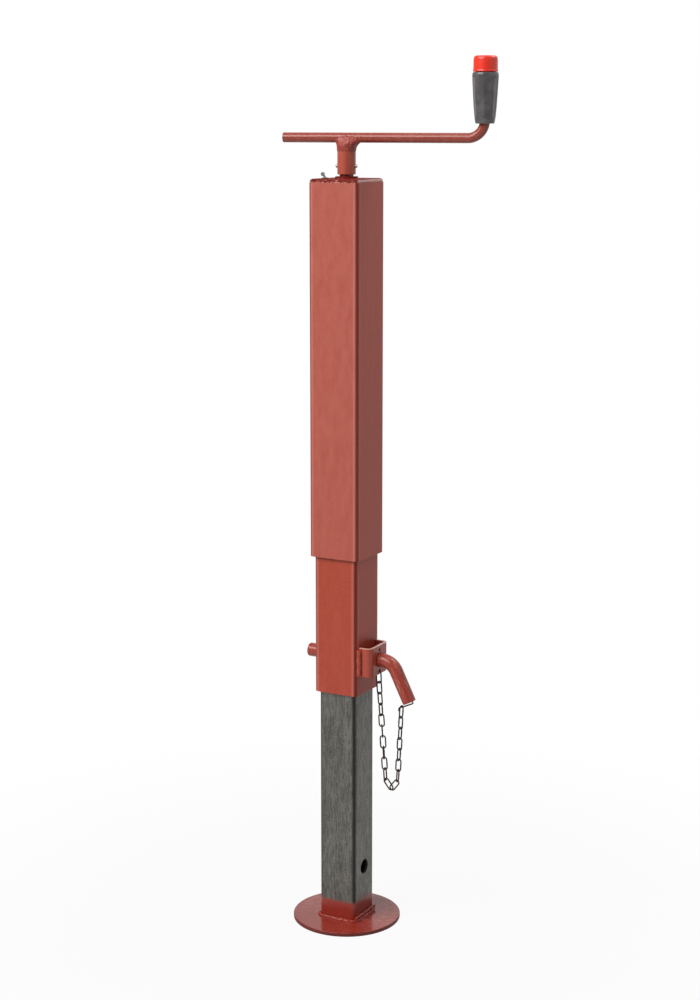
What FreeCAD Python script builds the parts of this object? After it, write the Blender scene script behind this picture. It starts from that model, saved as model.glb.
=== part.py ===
"""Trailer prop stand: a square telescopic leg that a crank winds up and down.

The origin is the centre of the foot plate's underside. Z points up, X points the way
that the locking pin is drawn out, and all sizes are in millimetres.
"""
import FreeCAD, Part
import math
import os

# Square tubes, each sliding in the next
wall = 4.0
corner_radius = 7.0
slide_clearance = 1.0
casing_side = 80.0
inner_side = casing_side - 2 * (wall + slide_clearance)
leg_side = inner_side - 2 * (wall + slide_clearance)

# Foot and drop leg
foot_diameter = 160.0
foot_thickness = 6.0
foot_weld_size = 4.5
leg_length = 464.0
lower_hole_height = 84.0

# Inner tube and casing
inner_tube_bottom = 357.0
inner_tube_length = 540.0
casing_bottom = 560.0
casing_length = 534.0
extend_travel = 180.0

# Locking pin, its holes, and the wire hook in its end
pin_rise = 51.0
pin_diameter = 20.0
tube_hole_clearance = 1.5
leg_hole_clearance = 2.0
pin_overhang = 27.0
pin_end_chamfer = 1.5
pin_bend_start = 5.0
bar_bend_steps = 6
pin_bend_radius = 25.0
pin_bend_angle = 63.5
pin_tail_length = 49.0
hook_offset = 5.0
hook_depth = 8.0
hook_drop = 7.4
hook_run = 26.0
hook_fall_angle = 14.0
hook_tip = 5.0
hook_bend_radius = 2.5

# Strap that guards the pin
strap_reach = 20.0
strap_width = 55.0
strap_thickness = 4.0
strap_height = 43.0
strap_bend_radius = 9.0
strap_weld_size = 5.0
strap_weld_short = 3.0
sight_hole_diameter = 5.0
sight_hole_rise = 15.0
chain_hole_diameter = 5.0
chain_hole_rise = 5.0

# Keeper chain
chain_wire = 2.1
wire_sides = 5
wire_bend_steps = 2
link_width = 9.8
link_length = 20.9
link_gap = 0.3
hook_gap = 0.6
left_links = 9
right_links = 7
anchor_drop = 0.3
anchor_lean_angle = 3.0
left_lean_angle = 4.4
right_lean_angle = -3.0
end_link_angle = 38.0
end_link_offset = 1.25
link_twist_angle = 29.0

# Top plate, bush and grease nipple
top_plate_thickness = 5.0
top_weld_size = 2.0
bush_diameter = 32.0
bush_stand = 2.7
running_clearance = 0.05
nipple_offset = 22.0
nipple_thread = 6.0
nipple_hex = 8.0
nipple_hex_height = 3.0
nipple_head = 5.0
nipple_reach = 8.0
nipple_lean_angle = 35.0

# Screw spindle and thrust bearing
screw_diameter = 26.0
screw_clearance = 0.08
screw_chamfer = 2.0
neck_diameter = 20.0
race_diameter = 37.0
race_thickness = 3.0
bearing_play = 0.1
ball_diameter = 5.0
ball_count = 12
collar_height = 14.0
stop_clearance = 0.5
stop_pin_diameter = 8.0
stop_pin_length = 38.0
screw_end = 10.0

# Drive nut in the inner tube
nut_flats = 41.0
nut_length = 40.0
nut_plate_thickness = 8.0
plate_bore_clearance = 1.0

# Crank
crank_rod_diameter = 14.0
hub_length = 50.5
crank_radius = 198.0
crank_tail = 93.0
crank_bend_radius = 23.5
crank_rest_angle = 11.0
hub_diameter = 26.0
hub_gap = 2.8
neck_end_gap = 2.0
hub_pin_diameter = 5.0
hub_pin_length = 31.0
hub_pin_rise = 11.5
hub_weld = 3.0

# Grip
grip_overlap = 4.0
grip_relief = 0.8
grip_length = 68.5
grip_end_diameter = 23.0
grip_low_diameter = 30.0
grip_low_rise = 13.0
grip_wide_diameter = 36.6
grip_shoulder = 6.5
grip_flutes = 8
grip_flute_share = 0.06
grip_clearance = 0.3
counterbore_diameter = 28.0
counterbore_depth = 14.0
grip_cap_height = 22.0
grip_cap_diameter = 34.0
retainer_diameter = 24.0
retainer_thickness = 2.0

# Levels and reaches that follow from the sizes above
inner_tube_top = inner_tube_bottom + inner_tube_length
casing_top = casing_bottom + casing_length
top_plate_top = casing_top + top_plate_thickness
hub_bottom = top_plate_top + bush_stand + hub_gap
pin_height = inner_tube_bottom + pin_rise
strap_face = inner_side / 2 + strap_reach
strap_bottom = pin_height - strap_height / 2
nut_top = inner_tube_top - nut_plate_thickness
nut_bottom = nut_top - nut_length
stop_pin_height = nut_bottom - extend_travel - stop_clearance - stop_pin_diameter / 2
screw_bottom = stop_pin_height - screw_end
race_bottom = casing_top - race_thickness
ball_circle_radius = (neck_diameter + race_diameter) / 4
ball_height = race_bottom - bearing_play - ball_diameter / 2
collar_top = ball_height - ball_diameter / 2
crank_height = hub_bottom + hub_length
hub_pin_height = hub_bottom + hub_pin_rise
neck_top = crank_height - crank_rod_diameter / 2 - neck_end_gap
hub_top = crank_height - crank_rod_diameter / 2 + hub_weld
grip_bottom = crank_height + crank_bend_radius - grip_overlap
grip_top = grip_bottom + grip_length
counterbore_floor = grip_top - counterbore_depth
retainer_bottom = counterbore_floor + grip_clearance

X = FreeCAD.Vector(1, 0, 0)
Y = FreeCAD.Vector(0, 1, 0)
Z = FreeCAD.Vector(0, 0, 1)


def at(x, y, z):
    return FreeCAD.Vector(x, y, z)


def level(angle):
    """Unit vector in the ground plane, turned from +X towards +Y."""
    return at(math.cos(math.radians(angle)), math.sin(math.radians(angle)), 0)


def hanging(lean):
    """Unit vector that points down and leans towards +X."""
    return at(math.sin(math.radians(lean)), 0, -math.cos(math.radians(lean)))


crank_direction = level(crank_rest_angle)
grip_axis = crank_direction * crank_radius


def round_bar(diameter, start, direction, length):
    return Part.makeCylinder(diameter / 2, length, start, direction)


def ring(outside, bore, bottom, height):
    disc = round_bar(outside, at(0, 0, bottom), Z, height)
    return disc.cut(round_bar(bore, at(0, 0, bottom), Z, height))


def turned(outline):
    """Solid of revolution about Z from a closed outline of (radius, height) points."""
    corners = [at(radius, 0, height) for radius, height in outline]
    return Part.Face(Part.makePolygon(corners + corners[:1])).revolve(at(0, 0, 0), Z, 360)


def edges_at(solid, height):
    """Edges of a solid that lie wholly at one height."""
    return [edge for edge in solid.Edges
            if abs(edge.BoundBox.ZMin - height) < 1e-4 and abs(edge.BoundBox.ZMax - height) < 1e-4]


def square_bar(side, radius, bottom, height):
    """Square bar with rounded upright edges."""
    bar = Part.makeBox(side, side, height, at(-side / 2, -side / 2, bottom))
    uprights = [edge for edge in bar.Edges if edge.BoundBox.ZLength > height / 2]
    return bar.makeFillet(radius, uprights)


def square_tube(side, bottom, length):
    """Cold-formed square tube, rounded inside and out."""
    outside = square_bar(side, corner_radius, bottom, length)
    return outside.cut(square_bar(side - 2 * wall, corner_radius - wall, bottom, length))


def pin_hole(clearance, height, side):
    """Round cutter across both walls of a tube of the given side."""
    return round_bar(pin_diameter + clearance, at(-side, 0, height), X, 2 * side)


def polygon_prism(outline, height):
    """Upright prism over a closed outline of points."""
    return Part.Face(Part.makePolygon(outline + outline[:1])).extrude(Z * height)


def bend(before, corner, after, radius, steps):
    """Centre line of a bend at a corner, in a few straight steps that keep it light."""
    arriving = (corner - before).normalize()
    leaving = (after - corner).normalize()
    axis = arriving.cross(leaving).normalize()
    turn = arriving.getAngle(leaving)
    start = corner - arriving * (radius * math.tan(turn / 2))
    centre = start + axis.cross(arriving) * radius
    spoke = (start - centre) / math.cos(turn / steps / 2)
    turns = [FreeCAD.Rotation(axis, math.degrees(turn) * (i + 0.5) / steps) for i in range(steps)]
    return [centre + part_turn.multVec(spoke) for part_turn in turns]


def swept(profile, points):
    """Bar of one section along a line of points, mitred at each."""
    mitred = 1
    return Part.makePolygon(points).makePipeShell([profile], True, False, mitred)


def bent_bar(start, corner, end, radius, diameter):
    """Round bar with one bend."""
    profile = Part.Wire(Part.Circle(start, corner - start, diameter / 2).toShape())
    return swept(profile, [start] + bend(start, corner, end, radius, bar_bend_steps) + [end])


def wire_bar(points, diameter):
    """Thin wire with few sides, because the links of the chain are many."""
    ahead = points[1] - points[0]
    aside = ahead.cross(Y).normalize() * (diameter / 2)
    spin = FreeCAD.Rotation(ahead, 180 / wire_sides)
    step = FreeCAD.Rotation(ahead, 360 / wire_sides)
    rim = [spin.multVec(aside)]
    for _ in range(wire_sides):
        rim.append(step.multVec(rim[-1]))
    return swept(Part.makePolygon([points[0] + point for point in rim]), points).removeSplitter()


# Casing

def outer_tube():
    return square_tube(casing_side, casing_bottom, casing_length)


def top_plate():
    """Plate on the end of the casing, its edge rounded off by the weld."""
    plate = square_bar(casing_side, corner_radius, casing_top, top_plate_thickness)
    plate = plate.makeChamfer(top_weld_size, edges_at(plate, top_plate_top))
    return plate.cut([
        round_bar(bush_diameter, at(0, 0, casing_top), Z, top_plate_thickness),
        round_bar(nipple_thread, at(-nipple_offset, -nipple_offset, casing_top), Z, top_plate_thickness)])


def spindle_bush():
    """Bush in the top plate; the flange under the plate is the upper race of the thrust bearing."""
    bore = neck_diameter / 2 + running_clearance
    body = bush_diameter / 2
    flange = race_diameter / 2
    top = top_plate_top + bush_stand
    return turned([
        (bore, race_bottom), (flange, race_bottom), (flange, casing_top), (body, casing_top),
        (body, top), (bore, top)])


def grease_nipple():
    """Nipple with a leaning head, screwed into the top plate."""
    foot = at(-nipple_offset, -nipple_offset, top_plate_top)
    shank = round_bar(nipple_thread, foot - Z * top_plate_thickness, Z, top_plate_thickness)
    hexagon = [foot + level(60 * i) * (nipple_hex / math.sqrt(3)) for i in range(6)]
    lean = math.radians(nipple_lean_angle)
    outwards = level(225) * math.sin(lean) + Z * math.cos(lean)
    head = round_bar(nipple_head, foot + Z * (nipple_hex_height / 2), outwards, nipple_reach)
    return shank.fuse([polygon_prism(hexagon, nipple_hex_height), head]).removeSplitter()


# Spindle and crank

def cross_bore(diameter, height, direction):
    """Cutter for a pin hole across the spindle or its hub."""
    return round_bar(diameter, at(0, 0, height) - direction * hub_diameter, direction, 2 * hub_diameter)


def screw_spindle():
    """Screw with a collar that carries the balls and a turned neck, cross-bored for two pins."""
    screw = screw_diameter / 2
    neck = neck_diameter / 2
    collar = race_diameter / 2
    collar_bottom = collar_top - collar_height
    spindle = turned([
        (0, screw_bottom), (screw - screw_chamfer, screw_bottom), (screw, screw_bottom + screw_chamfer),
        (screw, collar_bottom), (collar, collar_bottom), (collar, collar_top), (neck, collar_top),
        (neck, neck_top), (0, neck_top)])
    return spindle.cut([
        cross_bore(stop_pin_diameter, stop_pin_height, X),
        cross_bore(hub_pin_diameter, hub_pin_height, crank_direction)])


def bearing_ball(centre):
    """Ball cut from a cube by its turned copies, which keeps the many balls light."""
    corner = at(ball_diameter, ball_diameter, ball_diameter) * -0.5
    cube = Part.makeBox(ball_diameter, ball_diameter, ball_diameter, corner)
    ball = cube
    for axis in (X, Y, Z):
        turned_cube = cube.copy()
        turned_cube.rotate(at(0, 0, 0), axis, 45)
        ball = ball.common(turned_cube)
    ball.translate(centre)
    return ball


def thrust_balls():
    """Ring of balls on the collar."""
    spots = [level(360 * i / ball_count) * ball_circle_radius + Z * ball_height for i in range(ball_count)]
    return Part.makeCompound([bearing_ball(spot) for spot in spots])


def stop_pin():
    """Pin across the foot of the screw, which the nut can't pass."""
    return round_bar(stop_pin_diameter, at(-stop_pin_length / 2, 0, stop_pin_height), X, stop_pin_length)


def hub_pin():
    """Pin through hub and neck, a little proud at both ends."""
    start = at(0, 0, hub_pin_height) - crank_direction * hub_pin_length / 2
    return round_bar(hub_pin_diameter, start, crank_direction, hub_pin_length)


def crank():
    """Rod bent up at its end to carry the grip, welded to the tube that fits the neck."""
    level_run = at(0, 0, crank_height)
    rod = bent_bar(level_run - crank_direction * crank_tail, level_run + grip_axis,
                   grip_axis + Z * retainer_bottom, crank_bend_radius, crank_rod_diameter)
    hub = ring(hub_diameter, neck_diameter, hub_bottom, hub_top - hub_bottom)
    hub = hub.cut(cross_bore(hub_pin_diameter, hub_pin_height, crank_direction))
    return rod.fuse(hub).removeSplitter()


def grip_retainer():
    """Disc on the rod's end that keeps the grip on."""
    return round_bar(retainer_diameter, grip_axis + Z * retainer_bottom, Z, retainer_thickness)


# Grip

def fluted(diameter, height):
    """Corners of the sleeve at one height: ridges with shallow flutes between them."""
    corners = []
    for i in range(2 * grip_flutes):
        radius = diameter / 2 * (1 - grip_flute_share * (i % 2))
        corners.append(level(180 * i / grip_flutes) * radius + Z * height)
    return corners + corners[:1]


def grip_sleeve():
    """Tapered fluted sleeve, wider in its bore over the rod's bend and round the retainer."""
    outlines = [
        fluted(grip_end_diameter, grip_bottom),
        fluted(grip_low_diameter, grip_bottom + grip_low_rise),
        fluted(grip_wide_diameter, grip_top - grip_shoulder),
        fluted(grip_cap_diameter, grip_top)]
    faces = [Part.Face(Part.makePolygon(outlines[0])), Part.Face(Part.makePolygon(outlines[-1]))]
    for low, high in zip(outlines, outlines[1:]):
        for i in range(2 * grip_flutes):
            corners = [low[i], low[i + 1], high[i + 1], high[i], low[i]]
            faces.append(Part.Face(Part.makePolygon(corners)))
    skin = Part.Shell(faces)
    skin.sewShape()
    bore = crank_rod_diameter + 2 * grip_clearance
    sleeve = Part.Solid(skin).cut([
        round_bar(bore, at(0, 0, grip_bottom), Z, grip_length),
        round_bar(bore + 2 * grip_relief, at(0, 0, grip_bottom), Z, grip_overlap),
        round_bar(counterbore_diameter, at(0, 0, counterbore_floor), Z, counterbore_depth)])
    return sleeve.translate(grip_axis)


def grip_cap():
    """Cap on the end of the sleeve."""
    return round_bar(grip_cap_diameter, grip_axis + Z * grip_top, Z, grip_cap_height)


# Inner tube, drive nut and strap

def inner_tube():
    tube = square_tube(inner_side, inner_tube_bottom, inner_tube_length)
    return tube.cut(pin_hole(tube_hole_clearance, pin_height, inner_side))


def nut_plate():
    """Plate in the top end of the inner tube, over the nut."""
    side = inner_side - 2 * wall
    plate = square_bar(side, corner_radius - wall, nut_top, nut_plate_thickness)
    bore = screw_diameter + 2 * plate_bore_clearance
    return plate.cut(round_bar(bore, at(0, 0, nut_top), Z, nut_plate_thickness))


def drive_nut():
    """Hexagonal nut under the plate, which climbs the screw."""
    hexagon = [level(60 * i) * (nut_flats / math.sqrt(3)) + Z * nut_bottom for i in range(6)]
    bore = screw_diameter + 2 * screw_clearance
    return polygon_prism(hexagon, nut_length).cut(round_bar(bore, at(0, 0, nut_bottom), Z, nut_length))


def strap_outline(inset, bend_radius):
    """Block with two rounded upright edges: the strap's outside, or the hollow inside it."""
    back = inner_side / 2
    width = strap_width - 2 * inset
    block = Part.makeBox(strap_reach - inset, width, strap_height, at(back, -width / 2, strap_bottom))
    bends = [edge for edge in block.Edges
             if edge.BoundBox.ZLength > strap_height / 2 and edge.BoundBox.XMin > back + 1]
    return block.makeFillet(bend_radius, bends)


def strap_weld(side):
    """Upright bead between one leg of the strap and the tube."""
    face = inner_side / 2
    leg = side * strap_width / 2
    toe = leg + side * strap_weld_size
    bottom = strap_bottom + strap_weld_short
    outline = [at(face - strap_weld_size / 2, leg, bottom), at(face + strap_weld_size, leg, bottom),
               at(face, toe, bottom), at(face - strap_weld_size / 2, toe, bottom)]
    bead = polygon_prism(outline, strap_height - 2 * strap_weld_short)
    return bead.cut(square_bar(inner_side, corner_radius, strap_bottom, strap_height))


def pin_strap():
    """Flat strap bent round the pin's handle end, welded to the tube by both legs."""
    strap = strap_outline(0, strap_bend_radius)
    strap = strap.cut(strap_outline(strap_thickness, strap_bend_radius - strap_thickness))
    inside_face = at(strap_face - 2 * strap_thickness, 0, 0)
    strap = strap.cut([
        round_bar(pin_diameter + tube_hole_clearance, inside_face + Z * pin_height, X, strap_reach),
        round_bar(sight_hole_diameter, inside_face + Z * (pin_height + sight_hole_rise), X, strap_reach),
        round_bar(chain_hole_diameter, inside_face + Z * (strap_bottom + chain_hole_rise), X, strap_reach)])
    return strap.fuse([strap_weld(-1), strap_weld(1)])


# Drop leg and foot

def drop_leg():
    tube = square_tube(leg_side, foot_thickness, leg_length)
    return tube.cut([pin_hole(leg_hole_clearance, pin_height, leg_side),
                     pin_hole(leg_hole_clearance, lower_hole_height, leg_side)])


def foot_plate():
    """Round plate with the weld bead that joins it to the leg."""
    plate = round_bar(foot_diameter, at(0, 0, 0), Z, foot_thickness)
    bead = square_bar(leg_side + 2 * foot_weld_size, corner_radius + foot_weld_size, foot_thickness,
                      foot_weld_size)
    bead = bead.makeChamfer(0.98 * foot_weld_size, edges_at(bead, foot_thickness + foot_weld_size))
    bead = bead.cut(square_bar(leg_side, corner_radius, foot_thickness, foot_weld_size))
    return plate.fuse(bead)


# Locking pin

def pin_corners():
    """Start, corner and tip of the pin's centre line."""
    start = at(-inner_side / 2 - pin_overhang, 0, pin_height)
    setback = pin_bend_radius * math.tan(math.radians(pin_bend_angle / 2))
    corner = at(strap_face + pin_bend_start + setback, 0, pin_height)
    return [start, corner, corner + hanging(90 - pin_bend_angle) * (setback + pin_tail_length)]


def hook_corners():
    """Corners of the wire hook, from inside the pin's end to the hook's tip."""
    tip = pin_corners()[2]
    down = hanging(90 - pin_bend_angle)
    across = hanging(180 - pin_bend_angle)
    run = hanging(-90 + hook_fall_angle)
    root = tip + across * hook_offset
    knee = root + down * hook_drop
    end = knee + run * hook_run
    return [root - down * hook_depth, knee, end, end + hanging(0) * hook_tip]


def locking_pin():
    """Round bar with a bent handle and a chamfered nose."""
    start, corner, tip = pin_corners()
    pin = bent_bar(start, corner, tip, pin_bend_radius, pin_diameter)
    nose = [edge for edge in pin.Edges if edge.BoundBox.XMax < start.x + 1e-3]
    pin = pin.makeChamfer(pin_end_chamfer, nose)
    root, knee = hook_corners()[:2]
    down = (knee - root).normalize()
    return pin.cut(round_bar(chain_wire, root, down, hook_depth + pin_end_chamfer))


def pin_chain_hook():
    """Wire hook set in a hole in the pin's end."""
    root, knee, end, tip = hook_corners()
    first = bend(root, knee, end, hook_bend_radius, wire_bend_steps)
    second = bend(knee, end, tip, hook_bend_radius, wire_bend_steps)
    return wire_bar([root] + first + second + [tip], chain_wire)


# Keeper chain

def chain_link(top, lean, roll):
    """One link that hangs from the middle of its top bend, leaning and rolled about its length."""
    bend_radius = (link_width - chain_wire) / 2
    half = (link_length - link_width) / 2
    corner = bend_radius * math.tan(math.pi / 8)
    rise = [at(bend_radius, 0, half + corner), at(corner, 0, half + bend_radius),
            at(-corner, 0, half + bend_radius), at(-bend_radius, 0, half + corner)]
    loop = [at(bend_radius, 0, 0)] + rise + [point * -1 for point in rise] + [at(bend_radius, 0, 0)]
    link = wire_bar(loop, chain_wire)
    centre = top + hanging(lean) * (half + bend_radius)
    turn = FreeCAD.Rotation(Y, -lean).multiply(FreeCAD.Rotation(Z, roll))
    link.Placement = FreeCAD.Placement(centre, turn)
    return link


def link_step():
    """Distance from one link's top bend to the next one's."""
    return link_length - 2 * chain_wire - link_gap


def strand(top, lean, count, end_lean, end_side):
    """Links in line from `top`, each across the last, and a last link that leans away."""
    links = []
    for i in range(count):
        twist = link_twist_angle * math.sin(math.pi * i / (count - 1))
        links.append(chain_link(top + hanging(lean) * link_step() * i, lean, 90 * (i + 1) + twist))
    last_bend = top + hanging(lean) * (link_step() * (count - 1) + link_length - chain_wire)
    end_top = last_bend - hanging(end_lean) * (chain_wire + link_gap) + Y * end_side * end_link_offset
    links.append(chain_link(end_top, end_lean, 0))
    return Part.makeCompound(links)


def anchor_top():
    return at(strap_face - strap_thickness / 2, 0, strap_bottom + chain_hole_rise - anchor_drop)


def chain_anchor_link():
    """First link, through the hole in the strap."""
    return chain_link(anchor_top(), anchor_lean_angle, 0)


def chain_left_links():
    top = anchor_top() + hanging(anchor_lean_angle) * (link_length - 2 * chain_wire - link_gap)
    return strand(top, left_lean_angle, left_links, end_link_angle, 1)


def chain_right_links():
    """Links that hang from the run of the hook, just inside its bend."""
    knee, end = hook_corners()[1:3]
    seat = end - (end - knee).normalize() * (hook_bend_radius + chain_wire)
    return strand(seat + Z * (chain_wire + hook_gap), right_lean_angle, right_links, -end_link_angle, -1)


pieces = [
    outer_tube, top_plate, spindle_bush, grease_nipple,
    screw_spindle, thrust_balls, stop_pin, crank, hub_pin, grip_retainer,
    grip_sleeve, grip_cap,
    inner_tube, nut_plate, drive_nut, pin_strap, chain_anchor_link, drop_leg, foot_plate,
    locking_pin, pin_chain_hook, chain_left_links, chain_right_links]

os.makedirs("parts", exist_ok=True)
for piece in pieces:
    solid = piece()
    assert solid.isValid(), piece.__name__
    solid.exportStep("parts/" + piece.__name__ + ".step")
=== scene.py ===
"""A trailer prop stand: a square telescopic leg on a round foot, with a crank on top."""
import bpy
import math
from mathutils import Matrix, Vector, noise


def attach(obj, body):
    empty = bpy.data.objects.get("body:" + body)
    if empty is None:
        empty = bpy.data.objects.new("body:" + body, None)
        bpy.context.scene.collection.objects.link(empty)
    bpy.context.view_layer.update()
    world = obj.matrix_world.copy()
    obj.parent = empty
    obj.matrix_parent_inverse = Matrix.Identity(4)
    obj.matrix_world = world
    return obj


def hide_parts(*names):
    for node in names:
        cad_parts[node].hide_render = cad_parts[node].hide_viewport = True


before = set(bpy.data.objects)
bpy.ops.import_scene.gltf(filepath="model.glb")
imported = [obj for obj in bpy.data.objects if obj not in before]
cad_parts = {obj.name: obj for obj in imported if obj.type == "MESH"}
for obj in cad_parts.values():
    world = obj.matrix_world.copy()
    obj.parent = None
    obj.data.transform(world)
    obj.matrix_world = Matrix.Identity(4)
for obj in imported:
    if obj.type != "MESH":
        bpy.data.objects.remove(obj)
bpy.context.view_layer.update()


# Foot plate. A disc sawn from 6 mm mild steel plate, its rim broken with a grinder. It is
# welded to the leg and then sprayed with a glossy oxide-red paint, and pale dust on its
# back half, kept off the front, is also a painted reflection of the pale surround.

MM = 0.001


def colour(hex_value):
    """Linear colour from an sRGB hex value."""
    channels = [int(hex_value[i:i + 2], 16) / 255 for i in (1, 3, 5)]
    return [c / 12.92 if c <= 0.04045 else ((c + 0.055) / 1.055) ** 2.4 for c in channels] + [1.0]


def feed(material, node, inputs):
    """Gives a node's inputs values or links."""
    for name, value in inputs.items():
        if isinstance(value, bpy.types.NodeSocket):
            material.node_tree.links.new(value, node.inputs[name])
        else:
            node.inputs[name].default_value = value


def add(material, kind, inputs, **settings):
    """Adds one shader node with its settings, and feeds its inputs."""
    made = material.node_tree.nodes.new("ShaderNode" + kind)
    for name, value in settings.items():
        setattr(made, name, value)
    feed(material, made, inputs)
    return made.outputs


def new_finish(name):
    """Empty material, to be filled with the nodes of one finish."""
    material = bpy.data.materials.new(name)
    material.use_nodes = True
    return material


def dress(material, inputs):
    """Gives the shader of a finish its values and the last nodes of its patterns."""
    feed(material, material.node_tree.nodes["Principled BSDF"], inputs)


def laid(material, socket):
    """What the shader of a finish takes in so far, for wear or dirt to be laid over it."""
    return material.node_tree.nodes["Principled BSDF"].inputs[socket].links[0].from_socket


def corner_band(material, place, half, start, end):
    """1 on the rounded corners of an upright square tube, and 0 on its flat sides."""
    axes = add(material, "SeparateXYZ", {"Vector": place})
    across = add(material, "Math", {0: axes["X"]}, operation="ABSOLUTE")["Value"]
    along = add(material, "Math", {0: axes["Y"]}, operation="ABSOLUTE")["Value"]
    nearer = add(material, "Math", {0: across, 1: along}, operation="MINIMUM")["Value"]
    return add(material, "MapRange", {"Value": nearer, "From Min": half + start,
                                      "From Max": half + end},
               interpolation_type="SMOOTHSTEP")["Result"]


def oxide_paint(name, fresh, thin, gloss, half=0, peel_depth=0.12 * MM):
    """Sprayed oxide-red alkyd paint on mild steel.

    It is thicker in some places than in others, in soft streaks about 10 mm wide that run
    along the part, with a fine orange peel of about 2 mm. The dust grains in it are drawn
    1.6 mm wide, coarser than real ones, to show. On a tube of that half side a painted
    highlight runs beside the rounded corners and a painted shade lies on them.
    """
    streak, sag, peel_size, grain_size = 10 * MM, 18 * MM, 2.2 * MM, 1.6 * MM
    material = new_finish(name)
    place = add(material, "TexCoord", {})["Object"]
    drawn = add(material, "Mapping", {"Vector": place, "Scale": (1, 1, 0.3)})["Vector"]
    cloud = add(material, "TexNoise", {"Vector": drawn, "Scale": 1 / streak, "Detail": 5.0,
                                       "Roughness": 0.65})["Fac"]
    cover = add(material, "MapRange", {"Value": cloud, "From Min": 0.32,
                                       "From Max": 0.68})["Result"]
    tone = add(material, "Mix", {0: cover, 6: colour(fresh), 7: colour(thin)},
               data_type="RGBA")[2]
    grains = add(material, "TexNoise", {"Vector": place, "Scale": 1 / grain_size,
                                        "Detail": 2.0})["Fac"]
    dusty = add(material, "MapRange", {"Value": grains, "From Min": 0.50, "From Max": 0.80,
                                       "To Max": 0.15})["Result"]
    layers = [(dusty, "#D8A79C")]
    if half:
        # A painted highlight beside the rounded corners.
        corner_highlight_band = corner_band(material, place, half, -8.6 * MM, -6.6 * MM)
        chalky_and_highlight = add(material, "Math", {0: corner_highlight_band, 1: 0.30}, operation="MULTIPLY")["Value"]
        # A painted shade on the rounded corners.
        thick = corner_band(material, place, half, -5.4 * MM, -3.0 * MM)
        layers += [(chalky_and_highlight, "#D98A7A"), (thick, "#7A2412")]
    for share, tint in layers:
        tone = add(material, "Mix", {0: share, 6: tone, 7: colour(tint)}, data_type="RGBA")[2]
    peel = add(material, "TexNoise", {"Vector": place, "Scale": 1 / peel_size,
                                      "Detail": 1.0})["Fac"]
    wave = add(material, "TexNoise", {"Vector": place, "Scale": 1 / sag, "Detail": 2.0})["Fac"]
    skin = add(material, "Math", {0: wave, 1: 1.3, 2: peel}, operation="MULTIPLY_ADD")["Value"]
    relief = add(material, "Bump", {"Height": skin, "Strength": 0.25,
                                    "Distance": peel_depth})["Normal"]
    sheen = add(material, "MapRange", {"Value": cloud, "From Min": 0.3, "From Max": 0.7,
                                       "To Min": gloss - 0.05, "To Max": gloss + 0.08})["Result"]
    dress(material, {"Base Color": tone, "Roughness": sheen, "Normal": relief, "IOR": 1.45})
    return material


def only(piece):
    """Makes a piece the one that is selected and worked on."""
    bpy.ops.object.select_all(action="DESELECT")
    piece.select_set(True)
    bpy.context.view_layer.objects.active = piece


def settle(piece):
    """Moves a piece's place, turn and size into its mesh."""
    only(piece)
    bpy.ops.object.transform_apply(location=True, rotation=True, scale=True)


def work_on(piece, step, kind, **settings):
    """Works on a piece with one modifier, which is applied."""
    only(piece)
    tool = piece.modifiers.new(step, kind)
    for name, value in settings.items():
        setattr(tool, name, value)
    bpy.ops.object.modifier_apply(modifier=tool.name)


def break_edges(piece, width, segments=2, sharper_than=40):
    """Rounds a piece's sharp edges by the width that a file or a press leaves."""
    work_on(piece, "broken edge", "BEVEL", width=width, segments=segments,
            limit_method="ANGLE", angle_limit=math.radians(sharper_than), harden_normals=False)


def fit(piece, name, body, finish, slot, *stands_for):
    """Gives a finished piece its name, finish and place on the body that carries it."""
    settle(piece)
    bpy.ops.object.shade_smooth_by_angle(angle=math.radians(35))
    work_on(piece, "flats stay flat", "WEIGHTED_NORMAL", keep_sharp=True)
    piece.name = name
    piece.data.name = name
    piece.data.materials.clear()
    piece.data.materials.append(finish)
    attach(piece, body)
    if stands_for:
        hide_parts(*stands_for)


FOOT_RADIUS = 80 * MM
FOOT_THICKNESS = 6 * MM
foot_red = oxide_paint("glossy oxide red paint on the foot", "#8C2618", "#943122", 0.18)

# The dust lies in drifts 6 mm wide and twice as long.
place = add(foot_red, "TexCoord", {})["Object"]
blown = add(foot_red, "Mapping", {"Vector": place, "Rotation": (0, 0, math.radians(35)),
                                  "Scale": (2, 1, 1)}, vector_type="TEXTURE")["Vector"]
drift = add(foot_red, "TexNoise", {"Vector": blown, "Scale": 1 / (6 * MM), "Detail": 5.0,
                                   "Roughness": 0.65})["Fac"]
settled = add(foot_red, "MapRange", {"Value": drift, "From Min": 0.46, "From Max": 0.72,
                                     "To Max": 0.34})["Result"]
axes = add(foot_red, "SeparateXYZ", {"Vector": place})
behind = add(foot_red, "MapRange", {"Value": axes["Y"], "From Min": -45 * MM,
                                    "From Max": -5 * MM})["Result"]
# On the back half the dust also paints the pale surround's reflection.
dust_and_painted_reflection = add(foot_red, "Math", {0: settled, 1: behind}, operation="MULTIPLY")["Value"]
# A painted shade darkens its rim, and the rim is made duller.
flat = add(foot_red, "CombineXYZ", {"X": axes["X"], "Y": axes["Y"], "Z": 0.0})["Vector"]
radius = add(foot_red, "VectorMath", {0: flat}, operation="LENGTH")["Value"]
painted_rim_shade = add(foot_red, "MapRange", {"Value": radius, "From Min": FOOT_RADIUS - 0.5 * MM,
                                 "From Max": FOOT_RADIUS - 0.1 * MM, "To Max": 0.7})["Result"]
tone = laid(foot_red, "Base Color")
for share, tint in ((dust_and_painted_reflection, "#B9A09C"), (painted_rim_shade, "#4E1912")):
    tone = add(foot_red, "Mix", {0: share, 6: tone, 7: colour(tint)}, data_type="RGBA")[2]
dulled = add(foot_red, "Math", {0: painted_rim_shade, 1: 0.6, 2: laid(foot_red, "Roughness")},
             operation="MULTIPLY_ADD")["Value"]
dress(foot_red, {"Base Color": tone, "Roughness": dulled})

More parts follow.
